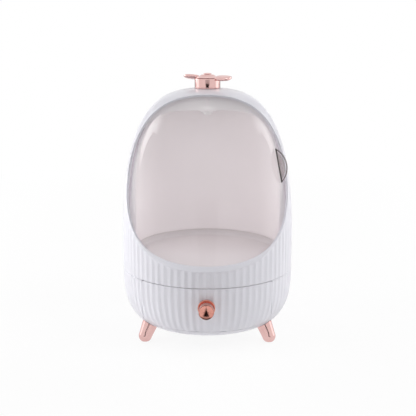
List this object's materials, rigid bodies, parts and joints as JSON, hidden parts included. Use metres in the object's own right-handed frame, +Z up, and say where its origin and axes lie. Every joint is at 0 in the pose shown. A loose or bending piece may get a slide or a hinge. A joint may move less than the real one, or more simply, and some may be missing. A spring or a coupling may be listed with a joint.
{
  "type": "makeup organizer",
  "caption": "Round domed makeup organizer on splayed legs, with a clear cover that turns behind the shell, a fluted drawer and a propeller knob on top.",
  "frame": {"origin": "centre of the bowl's flat underside, on the upright axis that the cover turns about; the feet reach 18.5 mm below it", "axes": "+Z up along the turning axis, -Y towards the front with the opening and the drawer, +X to the right of a person facing the front"},
  "size_m": [0.24, 0.2578, 0.3702],
  "materials": {
    "white_plastic": "glossy moulded white",
    "liner_plastic": "satin moulded off-white",
    "clear_plastic": "polished clear moulding",
    "rose_metal": "polished rose-gold plate",
    "copper_metal": "polished copper-rose plate",
    "steel": "plain zinc-plated"
  },
  "bodies": {
    "base": {"bowl": "white_plastic", "shell": "white_plastic", "chamber_floor": "white_plastic", "pivot_bush": "white_plastic", "rear_liner": "liner_plastic", "top_hub": "rose_metal", "propeller_cap": "rose_metal", "leg_1": "rose_metal", "leg_2": "rose_metal", "leg_3": "rose_metal", "leg_4": "rose_metal", "pivot_bolt": "steel", "pivot_washer": "steel", "pivot_nut": "steel", "leg_screw_1": "steel", "leg_screw_2": "steel", "leg_screw_3": "steel", "leg_screw_4": "steel", "body_screw_1": "steel", "body_screw_2": "steel", "body_screw_3": "steel", "body_screw_4": "steel"},
    "cover": {"clear_cover": "clear_plastic", "cover_pull": "clear_plastic"},
    "drawer": {"drawer_front": "white_plastic", "drawer_tray": "white_plastic", "drawer_screw_1": "steel", "drawer_screw_2": "steel", "knob_collar": "copper_metal", "drawer_knob": "copper_metal", "knob_screw": "steel"},
    "spinner": {"propeller": "rose_metal"}
  },
  "joints": [
    {"name": "cover_turn", "type": "hinge", "parent": "base", "child": "cover", "pos_m": [0, 0, 0.2], "axis": [0, 0, -1], "range_deg": [0, 137]},
    {"name": "drawer_slide", "type": "slide", "parent": "base", "child": "drawer", "axis": [0, -1, 0], "range_m": [0, 0.095]},
    {"name": "propeller_spin", "type": "hinge", "parent": "base", "child": "spinner", "pos_m": [0, 0, 0.345], "axis": [0, 0, 1], "continuous": true}
  ]
}
